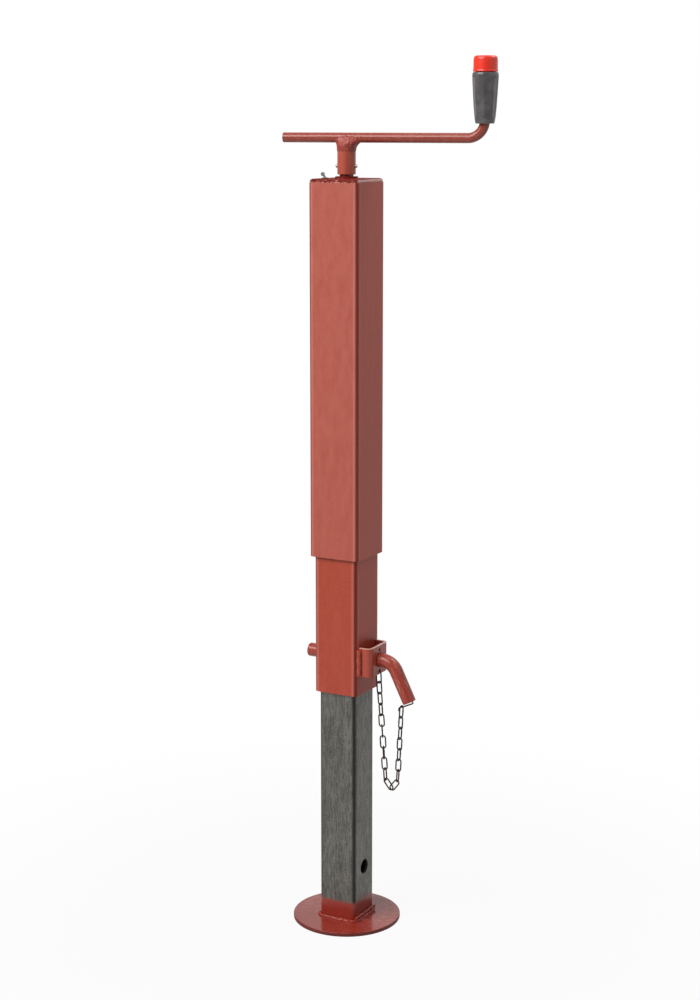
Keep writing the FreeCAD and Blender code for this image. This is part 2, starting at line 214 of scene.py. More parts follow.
bpy.ops.object.select_all(action="DESELECT")
bpy.ops.mesh.primitive_cylinder_add(vertices=160, radius=FOOT_RADIUS, depth=FOOT_THICKNESS,
                                    location=(0, 0, FOOT_THICKNESS / 2))
foot = bpy.context.object
break_edges(foot, 1.1 * MM, segments=3)
fit(foot, "foot_disc", "inner", foot_red, "foot_paint", "foot_plate")


# Weld round the leg. A fillet laid by hand with a MIG torch, four runs that meet at the
# corners, left as laid and painted with the foot.

def weld_paint(name, deep, crest_and_highlight, gloss):
    """Thick sprayed paint over weld metal: dark in the ripples, thin and pale on their crests,
    where the pale colour is also a painted highlight.

    The ripples and the spatter between them are about 2 mm apart.
    """
    ripple_size, cloud_size = 2.1 * MM, 16 * MM
    material = new_finish(name)
    place = add(material, "TexCoord", {})["Object"]
    ripple = add(material, "TexNoise", {"Vector": place, "Scale": 1 / ripple_size,
                                        "Detail": 2.0, "Roughness": 0.6})["Fac"]
    # The pale crests are thin paint and also a painted highlight.
    thin_and_highlit = add(material, "MapRange", {"Value": ripple, "From Min": 0.56,
                                         "From Max": 0.68})["Result"]
    cloud = add(material, "TexNoise", {"Vector": place, "Scale": 1 / cloud_size,
                                       "Detail": 2.0})["Fac"]
    patchy = add(material, "MapRange", {"Value": cloud, "From Min": 0.36,
                                        "From Max": 0.56})["Result"]
    bare = add(material, "Math", {0: thin_and_highlit, 1: patchy}, operation="MULTIPLY")["Value"]
    tone = add(material, "Mix", {0: bare, 6: colour(deep), 7: colour(crest_and_highlight)},
               data_type="RGBA")[2]
    sheen = add(material, "MapRange", {"Value": ripple, "To Min": gloss + 0.12,
                                       "To Max": gloss - 0.08})["Result"]
    relief = add(material, "Bump", {"Height": ripple, "Strength": 0.6,
                                    "Distance": 0.5 * MM})["Normal"]
    dress(material, {"Base Color": tone, "Roughness": sheen, "Normal": relief, "IOR": 1.45})
    return material


def square_line(side, radius, height, step):
    """Points about one step apart round a square with rounded corners."""
    points = []
    straight = side / 2 - radius
    runs = max(1, round(2 * straight / step))
    turns = max(2, round(radius * math.pi / 2 / step))
    for quarter in range(4):
        facing = Matrix.Rotation(math.pi / 2 * quarter, 3, "Z")
        for i in range(runs):
            points.append(facing @ Vector((side / 2, -straight + 2 * straight * i / runs, height)))
        for i in range(turns):
            angle = math.pi / 2 * i / turns
            points.append(facing @ Vector((straight + radius * math.cos(angle),
                                           straight + radius * math.sin(angle), height)))
    return points


def seal(piece):
    """Merges a piece's doubled points and turns its faces outwards."""
    only(piece)
    bpy.ops.object.mode_set(mode="EDIT")
    bpy.ops.mesh.select_all(action="SELECT")
    bpy.ops.mesh.remove_doubles(threshold=0.005 * MM)
    bpy.ops.mesh.normals_make_consistent(inside=False)
    bpy.ops.object.mode_set(mode="OBJECT")


def swept(points, size, widths=None, closed=False):
    """Round section drawn along a line of points, wider or narrower from point to point."""
    curve = bpy.data.curves.new("swept", "CURVE")
    curve.dimensions = "3D"
    curve.bevel_depth = size
    curve.bevel_resolution = 3
    curve.use_fill_caps = True
    line = curve.splines.new("POLY")
    line.points.add(len(points) - 1)
    line.use_cyclic_u = closed
    for i, point in enumerate(points):
        line.points[i].co = (*point, 1)
        line.points[i].radius = widths[i] if widths else 1.0
    bar = bpy.data.objects.new("swept", curve)
    bpy.context.scene.collection.objects.link(bar)
    only(bar)
    bpy.ops.object.convert(target="MESH")
    bar = bpy.context.object
    seal(bar)
    return bar


def roughen(piece, grain_size, depth):
    """Pushes the skin of a weld in and out in grains of that size."""
    grain = bpy.data.textures.new("weld grain", "CLOUDS")
    grain.noise_scale = grain_size
    work_on(piece, "uneven skin", "DISPLACE", texture=grain, texture_coords="LOCAL",
            strength=depth)


def weld_bead(points, size, ripple, closed, seed):
    """Bead along a line: overlapping scales one ripple apart, with an uneven flank."""
    widths = []
    run = 0
    for i, point in enumerate(points):
        run += (point - points[i - 1]).length if i else 0
        scale = 0.5 + 0.5 * math.cos(2 * math.pi * run / ripple)
        drift = noise.noise(Vector((run / (9 * MM), seed, 0)))
        widths.append(0.92 + 0.10 * scale + 0.14 * drift)
    bead = swept(points, size, widths, closed)
    roughen(bead, 2.5 * MM, 0.22 * size)
    return bead


LEG_SIDE = 60 * MM
CORNER = 7 * MM
BEAD_STEP = 0.8 * MM
fillet_red = weld_paint("oxide red paint over the foot's weld", "#8E2819", "#B8543E", 0.38)
toe_line = square_line(side=LEG_SIDE + 4 * MM, radius=CORNER + 2 * MM,
                       height=FOOT_THICKNESS + 0.3 * MM, step=BEAD_STEP)
leg_weld = weld_bead(toe_line, size=2.9 * MM, ripple=3.2 * MM, closed=True, seed=1)
fit(leg_weld, "foot_weld_bead", "inner", fillet_red, "foot_paint")

# The run on the right went on in two passes, the second against the leg and a little wavy.
second_line = []
for i in range(75):
    waver = 0.7 * MM * math.sin(i * 0.55)
    second_line.append(Vector((31.4 * MM + waver, -30.5 * MM + i * BEAD_STEP, 11.4 * MM)))
second_pass = weld_bead(second_line, size=2.3 * MM, ripple=4.1 * MM, closed=False, seed=9)
fit(second_pass, "foot_weld_second_pass", "inner", fillet_red, "foot_paint")


# Drop leg. Cold-formed 60 x 60 x 4 tube with its mill skin: dull grey steel with long
# drawing marks and darker oil stains, oversprayed with the foot's paint at the bottom.

def pick(piece, kind, parts, test):
    """Opens a piece for editing with those points, edges or faces selected that pass a test."""
    only(piece)
    bpy.ops.object.mode_set(mode="EDIT")
    bpy.ops.mesh.select_mode(type=kind)
    bpy.ops.mesh.select_all(action="DESELECT")
    bpy.ops.object.mode_set(mode="OBJECT")
    for part in getattr(piece.data, parts):
        part.select = test(part)
    bpy.ops.object.mode_set(mode="EDIT")


def ends(piece, edge):
    """The places of an edge's two ends."""
    return [piece.data.vertices[v].co for v in edge.vertices]


def upright(piece, edge):
    """True for an edge that runs along Z."""
    low, high = ends(piece, edge)
    return abs(high.z - low.z) > 0.9 * (high - low).length


def block(centre, size):
    """Square block of that size, ready to be shaped."""
    bpy.ops.object.select_all(action="DESELECT")
    bpy.ops.mesh.primitive_cube_add(size=1, location=centre, scale=size)
    made = bpy.context.object
    settle(made)
    return made


def square_tube(side, bottom, top):
    """Cold-formed square tube with rounded corners, open at both ends."""
    tube = block((0, 0, (bottom + top) / 2), (side, side, top - bottom))
    pick(tube, "FACE", "polygons", lambda face: abs(face.normal.z) > 0.5)
    bpy.ops.mesh.delete(type="ONLY_FACE")
    bpy.ops.object.mode_set(mode="OBJECT")
    pick(tube, "EDGE", "edges", lambda edge: upright(tube, edge))
    bpy.ops.mesh.bevel(offset=CORNER, segments=10, affect="EDGES")
    bpy.ops.object.mode_set(mode="OBJECT")
    work_on(tube, "wall", "SOLIDIFY", thickness=WALL, offset=-1, use_even_offset=True)
    return tube


def cut(piece, shape):
    """Takes a shape out of a piece and leaves a clean wall there."""
    work_on(piece, "cut", "BOOLEAN", operation="DIFFERENCE", object=shape, solver="EXACT")
    bpy.data.objects.remove(shape)


def drill(piece, radius, height, along="X", x=0.0, y=0.0):
    """Cuts a round hole right through a piece."""
    turn = {"X": (0, math.pi / 2, 0), "Z": (0, 0, 0)}[along]
    bpy.ops.object.select_all(action="DESELECT")
    bpy.ops.mesh.primitive_cylinder_add(vertices=64, radius=radius, depth=300 * MM,
                                        location=(x, y, height), rotation=turn)
    cut(piece, bpy.context.object)


WALL = 4 * MM
SAWN_EDGE = 0.4 * MM
LEG_TOP = 470 * MM
LEG_HOLE = 11 * MM
PIN_HEIGHT = 408 * MM
LOWER_HOLE_HEIGHT = 84 * MM
leg = square_tube(LEG_SIDE, FOOT_THICKNESS, LEG_TOP)
for height in (PIN_HEIGHT, LOWER_HOLE_HEIGHT):
    drill(leg, LEG_HOLE, height)
break_edges(leg, SAWN_EDGE)

# The marks are drawn 1.6 mm apart, coarser than real ones, to show. They lie in bands of
# 9 mm, under stains 28 mm across, pale flecks of 2.2 mm and a painted shade that darkens the
# corners.
mill_steel = new_finish("cold-formed steel tube with its mill skin")
place = add(mill_steel, "TexCoord", {})["Object"]
drawn = add(mill_steel, "Mapping", {"Vector": place, "Scale": (1, 1, 0.10)})["Vector"]
marks = add(mill_steel, "TexNoise", {"Vector": drawn, "Scale": 1 / (1.6 * MM), "Detail": 5.0,
                                     "Roughness": 0.7})["Fac"]
bands = add(mill_steel, "TexNoise", {"Vector": drawn, "Scale": 1 / (9 * MM),
                                     "Detail": 2.0})["Fac"]
stain = add(mill_steel, "TexNoise", {"Vector": place, "Scale": 1 / (28 * MM), "Detail": 6.0,
                                     "Roughness": 0.65})["Fac"]
pits = add(mill_steel, "TexNoise", {"Vector": place, "Scale": 1 / (2.2 * MM), "Detail": 3.0,
                                    "Roughness": 0.6})["Fac"]
lines = add(mill_steel, "MapRange", {"Value": marks, "From Min": 0.33,
                                     "From Max": 0.67})["Result"]
broad = add(mill_steel, "MapRange", {"Value": bands, "From Min": 0.35, "From Max": 0.68,
                                     "To Max": 0.40})["Result"]
oily = add(mill_steel, "MapRange", {"Value": stain, "From Min": 0.45, "From Max": 0.75,
                                    "To Max": 0.45})["Result"]
flecks = add(mill_steel, "MapRange", {"Value": pits, "From Min": 0.54, "From Max": 0.70,
                                      "To Max": 0.36})["Result"]
# A painted shade darkens the rounded corners.
scale = corner_band(mill_steel, place, LEG_SIDE / 2, -6.4 * MM, -2.4 * MM)
# The overspray ends in a soft, ragged edge about 35 mm up.
height = add(mill_steel, "SeparateXYZ", {"Vector": place})["Z"]
edge = add(mill_steel, "TexNoise", {"Vector": place, "Scale": 1 / (6 * MM),
                                    "Detail": 3.0})["Fac"]
ragged = add(mill_steel, "Math", {0: edge, 1: 5 * MM, 2: height},
             operation="MULTIPLY_ADD")["Value"]
painted = add(mill_steel, "MapRange", {"Value": ragged, "From Min": 35.0 * MM,
                                       "From Max": 39.5 * MM, "To Min": 1.0,
                                       "To Max": 0.0})["Result"]
skin = add(mill_steel, "Mix", {0: lines, 6: colour("#4B4944"), 7: colour("#86837C")},
           data_type="RGBA")[2]
for share, tint in ((broad, "#403E38"), (oily, "#35322C"), (flecks, "#A5A29A"),
                    (scale, "#24231F"), (painted, "#902C20")):
    skin = add(mill_steel, "Mix", {0: share, 6: skin, 7: colour(tint)}, data_type="RGBA")[2]
dull = add(mill_steel, "MapRange", {"Value": lines, "To Min": 0.52, "To Max": 0.38})["Result"]
sheen = add(mill_steel, "Mix", {0: painted, 2: dull, 3: 0.24}, data_type="FLOAT")[0]
metal = add(mill_steel, "Math", {0: painted, 1: -0.55, 2: 0.55},
            operation="MULTIPLY_ADD")["Value"]
relief = add(mill_steel, "Bump", {"Height": marks, "Strength": 0.2,
                                  "Distance": 0.1 * MM})["Normal"]
dress(mill_steel, {"Base Color": skin, "Roughness": sheen, "Metallic": metal,
                   "Normal": relief})
fit(leg, "drop_leg_tube", "inner", mill_steel, "bare_steel", "drop_leg")


# Inner tube. The 70 x 70 x 4 tube that the screw pushes down, sprayed in a redder, thinner
# coat than the casing. A plate closes its top, and the nut under it rides on the screw.

INNER_SIDE = 70 * MM
INNER_LOW = 357 * MM
INNER_TOP = 897 * MM
PIN_HOLE = 10.75 * MM
tube_red = oxide_paint("oxide red paint on the inner tube", "#A83F2A", "#AF4834", 0.42,
                       half=INNER_SIDE / 2)
dress(tube_red, {"Specular IOR Level": 0.38})
inner = square_tube(INNER_SIDE, INNER_LOW, INNER_TOP)
drill(inner, PIN_HOLE, PIN_HEIGHT)
break_edges(inner, SAWN_EDGE)
fit(inner, "inner_tube_section", "inner", tube_red, "tube_paint", "inner_tube")


def turned_steel(name):
    """Turned free-cutting steel, bright and clouded by an oil film.

    Its grooves are drawn 1.6 mm apart, coarser than a real lathe's feed, to show.
    """
    material = new_finish(name)
    place = add(material, "TexCoord", {})["Object"]
    film = add(material, "TexNoise", {"Vector": place, "Scale": 1 / (12 * MM),
                                      "Detail": 4.0})["Fac"]
    grooves = add(material, "TexWave", {"Vector": place, "Scale": 1 / (1.6 * MM),
                                        "Distortion": 0.3},
                  wave_type="BANDS", bands_direction="Z")["Fac"]
    shade = add(material, "Mix", {0: film, 6: colour("#8B8880"), 7: colour("#A9A69E")},
                data_type="RGBA")[2]
    smear = add(material, "MapRange", {"Value": film, "To Min": 0.24, "To Max": 0.42})["Result"]
    relief = add(material, "Bump", {"Height": grooves, "Strength": 0.15,
                                    "Distance": 0.05 * MM})["Normal"]
    dress(material, {"Base Color": shade, "Roughness": smear, "Metallic": 1.0,
                     "Normal": relief})
    return material


def refinish(node, finish):
    """Gives a CAD node that stays as it is its own finish."""
    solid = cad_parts[node]
    solid.data.materials.clear()
    solid.data.materials.append(finish)


bright_steel = turned_steel("turned free-cutting steel with an oil film")
refinish("nut_plate", tube_red)
refinish("drive_nut", bright_steel)


# Pin guard. A 43 mm wide flat of 4 mm steel, bent hot round a former into a U, drilled for
# the pin, a wire lock and the chain, and welded to the tube by its two upright edges.

STRAP_LOW = 386.5 * MM
STRAP_TALL = 43 * MM
STRAP_TOP = STRAP_LOW + STRAP_TALL
STRAP_FACE = 55 * MM
STRAP_HALF = 27.5 * MM
CHAIN_HOLE_HEIGHT = STRAP_LOW + 5 * MM
SMALL_HOLE = 2.5 * MM


def strap_block(x_low, x_high, half_width, height, bend):
    """Block with its two outer upright edges bent to a radius."""
    made = block(((x_low + x_high) / 2, 0, STRAP_LOW + STRAP_TALL / 2),
                 (x_high - x_low, 2 * half_width, height))
    pick(made, "EDGE", "edges",
         lambda edge: upright(made, edge) and ends(made, edge)[0].x > x_high - MM)
    bpy.ops.mesh.bevel(offset=bend, segments=12, affect="EDGES")
    bpy.ops.object.mode_set(mode="OBJECT")
    return made


strap = strap_block(x_low=34.6 * MM, x_high=STRAP_FACE, half_width=STRAP_HALF,
                    height=STRAP_TALL, bend=9 * MM)
cut(strap, strap_block(x_low=20 * MM, x_high=STRAP_FACE - WALL, half_width=STRAP_HALF - WALL,
                       height=2 * STRAP_TALL, bend=5 * MM))
drill(strap, PIN_HOLE, PIN_HEIGHT)
for height in (PIN_HEIGHT + 15 * MM, CHAIN_HOLE_HEIGHT):
    drill(strap, SMALL_HOLE, height)
break_edges(strap, 0.9 * MM)
guard_red = oxide_paint("glossy oxide red paint on the pin guard", "#A83E2B", "#B04936", 0.26)
# Its upper edge is painted pale, a painted highlight.
height = add(guard_red, "SeparateXYZ", {"Vector": add(guard_red, "TexCoord", {})["Object"]})["Z"]
top_edge_highlight = add(guard_red, "MapRange", {"Value": height, "From Min": STRAP_TOP - 0.9 * MM,
                                    "From Max": STRAP_TOP - 0.2 * MM, "To Max": 0.6})["Result"]
rubbed = add(guard_red, "Mix", {0: top_edge_highlight, 6: laid(guard_red, "Base Color"),
                                7: colour("#E6C4B8")}, data_type="RGBA")[2]
dress(guard_red, {"Base Color": rubbed})
fit(strap, "pin_guard_strap", "inner", guard_red, "tube_paint", "pin_strap")

for side, hand in ((-1, "front"), (1, "back")):
    bead_line = [Vector((36.2 * MM, side * 29 * MM, STRAP_LOW + 2 * MM + i * BEAD_STEP))
                 for i in range(49)]
    bead = weld_bead(bead_line, size=3.8 * MM, ripple=3.6 * MM, closed=False, seed=2 + side)
    fit(bead, "pin_guard_weld_" + hand, "inner", guard_red, "tube_paint")


# Locking pin. A 20 mm black bar, chamfered at its nose and bent cold into a handle, painted
# with the tube. The paint is scuffed to a pale pink where hands and the bend have rubbed it.

def bent_rod(radius, start, bend_at, height, bend_radius, turn, tail):
    """Round bar along X, bent down (or up, with a negative turn) and run on straight."""
    bpy.ops.object.select_all(action="DESELECT")
    bpy.ops.mesh.primitive_circle_add(vertices=48, radius=radius, fill_type="NGON",
                                      location=(start, 0, height), rotation=(0, math.pi / 2, 0))
    rod = bpy.context.object
    settle(rod)
    side = 1 if turn > 0 else -1
    bpy.ops.object.mode_set(mode="EDIT")
    bpy.ops.mesh.select_all(action="SELECT")
    bpy.ops.mesh.extrude_region_move(TRANSFORM_OT_translate={"value": (bend_at - start, 0, 0)})
    bpy.ops.mesh.spin(steps=16, angle=-turn, center=(bend_at, 0, height - side * bend_radius),
                      axis=(0, 1, 0))
    onward = Vector((math.cos(turn), 0, -math.sin(turn))) * tail
    bpy.ops.mesh.extrude_region_move(TRANSFORM_OT_translate={"value": onward})
    bpy.ops.object.mode_set(mode="OBJECT")
    seal(rod)
    return rod


HANDLE_TURN = math.radians(63.5)
pin = bent_rod(radius=10 * MM, start=-62 * MM, bend_at=60 * MM, height=PIN_HEIGHT,
               bend_radius=25 * MM, turn=HANDLE_TURN, tail=49 * MM)
break_edges(pin, 1.4 * MM, sharper_than=60)
pin_red = oxide_paint("scuffed oxide red paint on the pin", "#973325", "#A13F2F", 0.27)
# The scuffs are 3.5 mm wide, nine times as long, and run along the handle.
place = add(pin_red, "TexCoord", {})["Object"]
along = add(pin_red, "Mapping", {"Vector": place, "Rotation": (0, HANDLE_TURN, 0),
                                 "Scale": (9, 1, 1)}, vector_type="TEXTURE")["Vector"]
rubbing = add(pin_red, "TexNoise", {"Vector": along, "Scale": 1 / (3.5 * MM), "Detail": 4.0,
                                    "Roughness": 0.7})["Fac"]
where = add(pin_red, "TexNoise", {"Vector": place, "Scale": 1 / (14 * MM),
                                  "Detail": 2.0})["Fac"]
streaks = add(pin_red, "MapRange", {"Value": rubbing, "From Min": 0.54,
                                    "From Max": 0.66})["Result"]
handled = add(pin_red, "MapRange", {"Value": where, "From Min": 0.42, "From Max": 0.60,
                                    "To Max": 0.75})["Result"]
scuffs = add(pin_red, "Math", {0: streaks, 1: handled}, operation="MULTIPLY")["Value"]
scuffed = add(pin_red, "Mix", {0: scuffs, 6: laid(pin_red, "Base Color"),
                               7: colour("#D69C86")}, data_type="RGBA")[2]
dress(pin_red, {"Base Color": scuffed})
fit(pin, "locking_pin_bar", "pin", pin_red, "tube_paint", "locking_pin")


# Keeper chain. Straight-link chain of 2.1 mm wire, each link butt-welded on one side and dipped
# in black oil paint. One end hangs from the guard, the other from a wire hook in the pin.

# The wire is nearly black with a dull oily sheen, and brown where rust shows through.
chain_black = new_finish("oiled chain wire with patches of rust")
place = add(chain_black, "TexCoord", {})["Object"]
patch = add(chain_black, "TexNoise", {"Vector": place, "Scale": 1 / (5 * MM),
                                      "Detail": 4.0})["Fac"]
rust = add(chain_black, "MapRange", {"Value": patch, "From Min": 0.42,
                                     "From Max": 0.62})["Result"]
wire = add(chain_black, "Mix", {0: rust, 6: colour("#21120F"), 7: colour("#42211B")},
           data_type="RGBA")[2]
pitted = add(chain_black, "Bump", {"Height": patch, "Strength": 0.3,
                                   "Distance": 0.1 * MM})["Normal"]
dress(chain_black, {"Base Color": wire, "Roughness": 0.48, "Metallic": 0.3, "Normal": pitted})

# A link's wire lies on two half circles set apart by two straight sides.
WIRE = 1.05 * MM
LINK_BEND = 3.85 * MM
LINK_HALF = 5.55 * MM
LINK_REACH = LINK_HALF + LINK_BEND
LINK_GAP = 0.3 * MM
LINK_STEP = 2 * LINK_REACH - 2 * WIRE - LINK_GAP


def hanging(lean):
    """Unit vector that points down and leans towards +X."""
    return Vector((math.sin(math.radians(lean)), 0, -math.cos(math.radians(lean))))


bpy.ops.object.select_all(action="DESELECT")
bpy.ops.mesh.primitive_torus_add(major_radius=LINK_BEND, minor_radius=WIRE, major_segments=28,
                                 minor_segments=12, rotation=(math.pi / 2, 0, 0))
pattern = bpy.context.object
settle(pattern)
for half in (1, -1):
    pick(pattern, "VERT", "vertices", lambda point: point.co.z * half > 0.02 * MM)
    bpy.ops.transform.translate(value=(0, 0, half * LINK_HALF))
    bpy.ops.object.mode_set(mode="OBJECT")
# The butt weld is a slight swelling half-way down one side.
pick(pattern, "EDGE", "edges",
     lambda edge: upright(pattern, edge) and ends(pattern, edge)[0].x > 0)
bpy.ops.mesh.subdivide(number_cuts=8)
bpy.ops.object.mode_set(mode="OBJECT")
pick(pattern, "VERT", "vertices", lambda point: point.co.x > 0 and abs(point.co.z) < 0.8 * MM)
bpy.ops.transform.resize(value=(1.0, 1.22, 1.0))
bpy.ops.object.mode_set(mode="OBJECT")


def hang_link(top, lean, roll):
    """Copy of the link, hung below a point at a lean and turned about its length."""
    only(pattern)
    bpy.ops.object.duplicate()
    link = bpy.context.object
    centre = top + hanging(lean) * LINK_REACH
    link.matrix_world = (Matrix.Translation(centre)
                         @ Matrix.Rotation(math.radians(-lean), 4, "Y")
                         @ Matrix.Rotation(math.radians(roll), 4, "Z"))
    settle(link)
    return link


def strand(top, lean, rolls, end_lean, end_side):
    """Links in line below a point, each turned about its length, and one that leans away."""
    links = [hang_link(top + hanging(lean) * LINK_STEP * i, lean, roll)
             for i, roll in enumerate(rolls)]
    last = top + hanging(lean) * (LINK_STEP * (len(rolls) - 1) + 2 * LINK_REACH)
    aside = Vector((0, end_side * 1.25 * MM, 0))
    links.append(hang_link(last - hanging(end_lean) * (2 * WIRE + LINK_GAP) + aside, end_lean, 0))
    only(links[0])
    for link in links:
        link.select_set(True)
    bpy.ops.object.join()
    return bpy.context.object


anchor = Vector((53 * MM, 0, CHAIN_HOLE_HEIGHT - LINK_GAP))
first = hang_link(anchor, lean=3, roll=0)
fit(first, "chain_first_link", "inner", chain_black, "chain_steel", "chain_anchor_link")
left = strand(anchor + hanging(3) * LINK_STEP, lean=4.4,
              rolls=(62, 164, 85, 13, 119, 27, 110, 11, 90), end_lean=38, end_side=1)
fit(left, "chain_left_strand", "chain_left", chain_black, "chain_steel", "chain_left_links")
in_hook = Vector((91.249 * MM, 0, 343.434 * MM))
right = strand(in_hook, lean=-3, rolls=(78, 160, 85, 172, 85, 3, 95), end_lean=-38,
               end_side=-1)
fit(right, "chain_right_strand", "chain_right", chain_black, "chain_steel",
    "chain_right_links")
bpy.data.objects.remove(pattern)

# The hook is a short length of the same wire, driven into a hole in the pin's end.
wire_line = [Vector((x, 0, z)) * MM for x, z in (
    (105.14, 359.69), (108.71, 352.53), (109.5, 350.9), (109.6, 350.1), (109.1, 349.4),
    (107.9, 348.7), (98.0, 344.1), (89.4, 340.5), (87.7, 339.8), (86.9, 338.6),
    (86.79, 337.2), (86.79, 334.6))]
fit(swept(wire_line, WIRE), "pin_wire_hook", "pin", chain_black, "chain_steel",
    "pin_chain_hook")


# Casing. The 80 x 80 x 4 tube that is clamped or welded to the trailer, sprayed in one thick
# coat of oxide-red paint that dries to a soft, slightly chalky sheen.

CASING_SIDE = 80 * MM
CASING_LOW = 560 * MM
CASING_TOP = 1094 * MM
casing_red = oxide_paint("oxide red paint on the casing", "#AA4939", "#B45848", 0.55,
                         half=CASING_SIDE / 2)
dress(casing_red, {"Specular IOR Level": 0.62})
casing = square_tube(CASING_SIDE, CASING_LOW, CASING_TOP)
break_edges(casing, SAWN_EDGE)
fit(casing, "casing_tube", "casing", casing_red, "casing_paint", "outer_tube")


# Top plate. A 73 mm square of 5 mm plate, set on the end of the casing so that the weld round
# it fills the step, bored for the bush and tapped for the nipple.

LID_SIDE = 73 * MM
LID_THICKNESS = 5 * MM
LID_TOP = CASING_TOP + LID_THICKNESS
LID_MIDDLE = CASING_TOP + LID_THICKNESS / 2
BUSH_HOLE = 16 * MM
NIPPLE_HOLE = 3 * MM
NIPPLE_OFF = -22 * MM
deep_red = oxide_paint("thick oxide red paint on the end plate", "#70170E", "#7C2018", 0.62)
lid = block((0, 0, LID_MIDDLE), (LID_SIDE, LID_SIDE, LID_THICKNESS))
break_edges(lid, 1.6 * MM, segments=3)
drill(lid, BUSH_HOLE, LID_MIDDLE, along="Z")
drill(lid, NIPPLE_HOLE, LID_MIDDLE, along="Z", x=NIPPLE_OFF, y=NIPPLE_OFF)
fit(lid, "top_plate_square", "casing", deep_red, "casing_paint", "top_plate")

lid_line = square_line(side=LID_SIDE + 0.6 * MM, radius=4.5 * MM,
                       height=CASING_TOP + 1.4 * MM, step=0.9 * MM)
lid_weld = weld_bead(lid_line, size=2.9 * MM, ripple=2.8 * MM, closed=True, seed=5)
weld_red = weld_paint("thick oxide red paint over weld ripples", "#6C140C", "#D08474", 0.55)
# Pale specks 3.2 mm apart along the toe of the weld, placed by the noise named spatter, are
# painted glints of light.
place = add(weld_red, "TexCoord", {})["Object"]
axes = add(weld_red, "SeparateXYZ", {"Vector": place})
toe = add(weld_red, "MapRange", {"Value": axes["Z"], "From Min": CASING_TOP + 0.3 * MM,
                                 "From Max": CASING_TOP + 1.3 * MM, "To Min": 1.0,
                                 "To Max": 0.0})["Result"]
spatter = add(weld_red, "TexNoise", {"Vector": place, "Scale": 1 / (3.2 * MM),
                                     "Detail": 1.0})["Fac"]
glint_specks = add(weld_red, "MapRange", {"Value": spatter, "From Min": 0.46,
                                   "From Max": 0.54})["Result"]
glints = add(weld_red, "Math", {0: toe, 1: glint_specks}, operation="MULTIPLY")["Value"]
# On its right side the weld is painted pale, a painted reflection.
right_side_reflection = add(weld_red, "MapRange", {"Value": axes["X"], "From Min": 37 * MM,
                                       "From Max": 39 * MM, "To Max": 0.80})["Result"]
tone = laid(weld_red, "Base Color")
for share, tint in ((glints, "#EDB4A4"), (right_side_reflection, "#E8C4BC")):
    tone = add(weld_red, "Mix", {0: share, 6: tone, 7: colour(tint)}, data_type="RGBA")[2]
dress(weld_red, {"Base Color": tone})
for chalky_and_highlight in (deep_red, weld_red):
    dress(chalky_and_highlight, {"Specular IOR Level": 0.15})
fit(lid_weld, "top_plate_weld_bead", "casing", weld_red, "casing_paint")


# Bush, bearing and screw. The flanged bush stands proud of the plate; its neck, balls and the
# trapezoidal screw are greased and lie inside the casing.

refinish("spindle_bush", deep_red)
for node in ("thrust_balls", "stop_pin", "grip_retainer"):
    refinish(node, bright_steel)

# The spindle is turned steel, and its neck caught the paint where it stands above the plate.
necked_steel = turned_steel("turned steel, painted red above the plate")
place = add(necked_steel, "TexCoord", {})["Object"]
mist = add(necked_steel, "TexNoise", {"Vector": place, "Scale": 1 / (12 * MM),
                                      "Detail": 4.0})["Fac"]
height = add(necked_steel, "SeparateXYZ", {"Vector": place})["Z"]
ragged = add(necked_steel, "Math", {0: mist, 1: 1.5 * MM, 2: height},
             operation="MULTIPLY_ADD")["Value"]
coated = add(necked_steel, "MapRange", {"Value": ragged, "From Min": LID_TOP + 0.6 * MM,
                                        "From Max": LID_TOP + 1.2 * MM})["Result"]
tone = add(necked_steel, "Mix", {0: coated, 6: laid(necked_steel, "Base Color"),
                                 7: colour("#7A1A12")}, data_type="RGBA")[2]
bare = add(necked_steel, "Math", {0: 1.0, 1: coated}, operation="SUBTRACT")["Value"]
dress(necked_steel, {"Base Color": tone, "Metallic": bare})
refinish("screw_spindle", necked_steel)


# Grease nipple. A zinc-plated steel hexagon with a waisted stem that leans outwards and a
# ball head for the grease gun.

# Bright metal with a cloudy bloom.
zinc = new_finish("zinc-plated steel")
place = add(zinc, "TexCoord", {})["Object"]
bloom = add(zinc, "TexNoise", {"Vector": place, "Scale": 1 / (2 * MM), "Detail": 3.0})["Fac"]
plated = add(zinc, "Mix", {0: bloom, 6: colour("#8F9190"), 7: colour("#B9BBB8")},
             data_type="RGBA")[2]
cloudy = add(zinc, "MapRange", {"Value": bloom, "To Min": 0.12, "To Max": 0.26})["Result"]
dress(zinc, {"Base Color": plated, "Roughness": cloudy, "Metallic": 1.0})


def lathe(profile, segments):
    """Turned piece about Z, spun from (radius, height) points in millimetres."""
    mesh = bpy.data.meshes.new("turned")
    corners = [(radius * MM, 0, height * MM) for radius, height in profile]
    mesh.from_pydata(corners, [(i, i + 1) for i in range(len(corners) - 1)], [])
    piece = bpy.data.objects.new("turned", mesh)
    bpy.context.scene.collection.objects.link(piece)
    only(piece)
    bpy.ops.object.mode_set(mode="EDIT")
    bpy.ops.mesh.select_all(action="SELECT")
    bpy.ops.mesh.spin(steps=segments, angle=2 * math.pi, center=(0, 0, 0), axis=(0, 0, 1))
    bpy.ops.object.mode_set(mode="OBJECT")
    seal(piece)
    return piece


